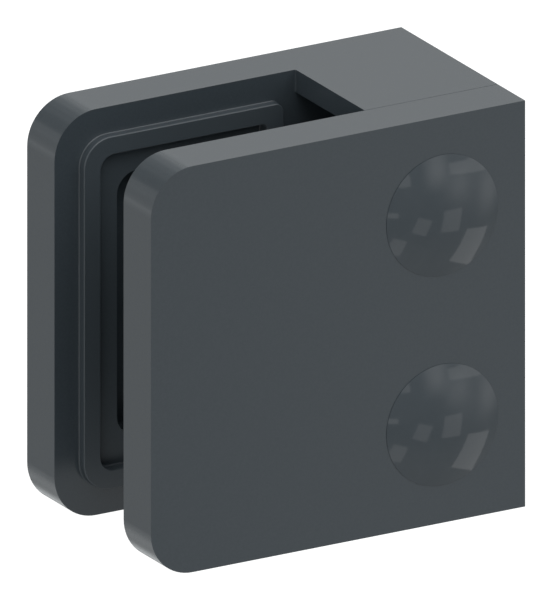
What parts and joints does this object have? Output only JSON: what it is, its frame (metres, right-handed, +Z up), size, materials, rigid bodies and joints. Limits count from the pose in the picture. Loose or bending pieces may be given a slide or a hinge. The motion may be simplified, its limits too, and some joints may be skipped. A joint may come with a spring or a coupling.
{
  "type": "glass panel clamp",
  "caption": "Square two-jaw clamp with rounded outer corners that holds a glass panel between rubber gaskets and bolts to a flat post or wall.",
  "frame": {"origin": "centre of the post bolt hole on the flat end face that seats on the post", "axes": "+X into the post, along the bolt; the slot for the glass opens towards -X; the cover plate with the caps faces -Y; +Z up"},
  "size_m": [0.045, 0.0271, 0.045],
  "materials": {
    "coated_casting": "satin anthracite powder coat on a zinc casting",
    "gasket_rubber": "matt moulded rubber",
    "screw_steel": "plain stainless steel",
    "cap_gloss": "smooth glossy anthracite"
  },
  "bodies": {
    "clamp_body": {"clamp_body": "coated_casting", "rear_gasket": "gasket_rubber"},
    "front_jaw": {"front_jaw": "coated_casting", "front_gasket": "gasket_rubber", "upper_cap": "cap_gloss", "lower_cap": "cap_gloss"},
    "upper_screw": {"upper_screw": "screw_steel"},
    "lower_screw": {"lower_screw": "screw_steel"}
  },
  "joints": [
    {"name": "jaw_slide", "type": "slide", "parent": "clamp_body", "child": "front_jaw", "axis": [0, -1, 0], "range_m": [0, 0.004]},
    {"name": "upper_screw_turn", "type": "hinge", "parent": "front_jaw", "child": "upper_screw", "pos_m": [-0.01, -0.0088, 0.0116], "axis": [0, -1, 0], "range_deg": [0, 1440.1]},
    {"name": "lower_screw_turn", "type": "hinge", "parent": "front_jaw", "child": "lower_screw", "pos_m": [-0.01, -0.0088, -0.0116], "axis": [0, -1, 0], "range_deg": [0, 1440.1]}
  ],
  "couplings": [
    {"joint": "upper_screw_turn", "follows": "jaw_slide", "rad_per_m": 6283.2},
    {"joint": "lower_screw_turn", "follows": "jaw_slide", "rad_per_m": 6283.2}
  ]
}
